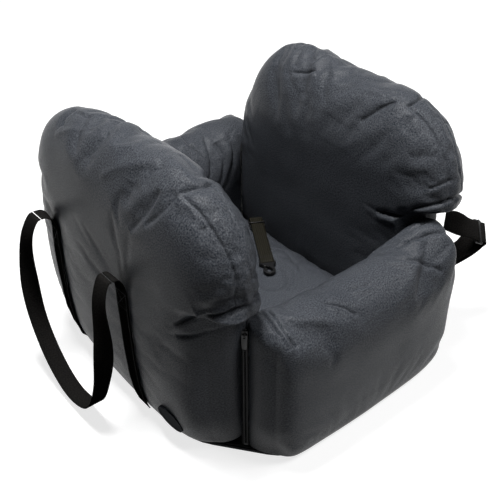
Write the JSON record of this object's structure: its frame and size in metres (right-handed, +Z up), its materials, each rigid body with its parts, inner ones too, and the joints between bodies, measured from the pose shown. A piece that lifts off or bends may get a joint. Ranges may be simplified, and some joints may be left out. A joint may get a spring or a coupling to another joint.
{
  "type": "dog car seat",
  "caption": "Padded dog car seat with tall stuffed wings, a low front wall that unzips and folds down, carry handles, an anchor strap and a safety tether.",
  "frame": {"origin": "middle of the underside of the base panel, on the floor", "axes": "+Z up, -Y towards the front wall that folds down, +X towards the wing with the anchor strap"},
  "size_m": [0.7212, 0.63, 0.475],
  "materials": {
    "woven_shell": "fine plain weave with a faint satin sheen",
    "base_cloth": "coated cloth",
    "foam": "open foam",
    "board": "plain sheet",
    "black_webbing": "flat woven webbing",
    "ribbed_webbing": "ribbed webbing",
    "zip_tape": "knitted tape",
    "zip_teeth": "moulded nylon",
    "blackened_metal": "black coated",
    "bright_metal": "plain steel",
    "patch_rubber": "moulded, matt"
  },
  "bodies": {
    "seat": {"base_panel": "base_cloth", "base_welt": "base_cloth", "floor_board": "board", "floor_foam": "foam", "seat_cushion": "woven_shell", "left_wing": "woven_shell", "right_wing": "woven_shell", "back_wall": "woven_shell", "round_patch": "patch_rubber", "left_zip_wing_tape": "zip_tape", "left_zip_wing_teeth": "zip_teeth", "left_zip_bottom_stop": "blackened_metal", "right_zip_wing_tape": "zip_tape", "right_zip_wing_teeth": "zip_teeth", "right_zip_bottom_stop": "blackened_metal", "left_handle_back_strip": "black_webbing", "left_handle_front_strip": "black_webbing", "right_handle_back_strip": "black_webbing", "right_handle_front_strip": "black_webbing"},
    "front": {"front_wall": "woven_shell", "left_zip_front_tape": "zip_tape", "left_zip_front_teeth": "zip_teeth", "right_zip_front_tape": "zip_tape", "right_zip_front_teeth": "zip_teeth"},
    "left_slider": {"left_zip_slider": "blackened_metal"},
    "right_slider": {"right_zip_slider": "blackened_metal"},
    "left_pull": {"left_zip_pull": "blackened_metal"},
    "right_pull": {"right_zip_pull": "blackened_metal"},
    "left_loop": {"left_handle_loop": "black_webbing"},
    "right_loop": {"right_handle_loop": "black_webbing"},
    "anchor": {"anchor_strap": "black_webbing", "anchor_buckle": "blackened_metal", "anchor_loop": "black_webbing"},
    "tether": {"tether_strap": "ribbed_webbing"},
    "tether_buckle": {"tether_buckle": "blackened_metal"},
    "hook": {"hook_body": "blackened_metal", "hook_pin": "bright_metal", "hook_spring": "bright_metal"},
    "gate": {"hook_gate": "blackened_metal"}
  },
  "joints": [
    {"name": "front_wall_fold", "type": "hinge", "parent": "seat", "child": "front", "pos_m": [0, -0.3, 0.004], "axis": [1, 0, 0], "range_deg": [0, 75]},
    {"name": "left_zip_slide", "type": "slide", "parent": "seat", "child": "left_slider", "axis": [0.0131, 0.0106, -0.9999], "range_m": [0, 0.2054]},
    {"name": "left_pull_swing", "type": "hinge", "parent": "left_slider", "child": "left_pull", "pos_m": [-0.19526, -0.23475, 0.24448], "axis": [-0.6293, 0.7771, 0], "range_deg": [0, 100]},
    {"name": "right_zip_slide", "type": "slide", "parent": "seat", "child": "right_slider", "axis": [-0.0131, 0.0106, -0.9999], "range_m": [0, 0.2054]},
    {"name": "right_pull_swing", "type": "hinge", "parent": "right_slider", "child": "right_pull", "pos_m": [0.19526, -0.23475, 0.24448], "axis": [-0.6293, -0.7771, 0], "range_deg": [0, 100]},
    {"name": "left_handle_swing", "type": "hinge", "parent": "seat", "child": "left_loop", "pos_m": [-0.30259, 0.05167, 0.29197], "axis": [0, 1, 0.0003], "range_deg": [0, 100]},
    {"name": "right_handle_swing", "type": "hinge", "parent": "seat", "child": "right_loop", "pos_m": [0.30259, 0.05165, 0.29197], "axis": [0, -1, -0.0004], "range_deg": [0, 100]},
    {"name": "anchor_swing", "type": "hinge", "parent": "seat", "child": "anchor", "pos_m": [0.26279, -0.21569, 0.23591], "axis": [-0.0696, -0.2299, 0.9707], "range_deg": [-13, 6]},
    {"name": "tether_lift", "type": "hinge", "parent": "seat", "child": "tether", "pos_m": [0.11911, 0.1196, 0.1302], "axis": [-0.8526, 0.5225, 0], "range_deg": [0, 70]},
    {"name": "tether_buckle_slide", "type": "slide", "parent": "tether", "child": "tether_buckle", "axis": [-0.5225, -0.8526, 0], "range_m": [-0.003, 0.068]},
    {"name": "hook_swing", "type": "hinge", "parent": "tether", "child": "hook", "pos_m": [0.03781, -0.01307, 0.14082], "axis": [-0.8526, 0.5225, 0], "range_deg": [0, 90]},
    {"name": "hook_gate_press", "type": "hinge", "parent": "hook", "child": "gate", "pos_m": [0.02468, -0.02263, 0.14082], "axis": [0, 0, 1], "range_deg": [0, 25], "stiffness_Nm_per_rad": 0.01, "springref_deg": -20.05}
  ]
}
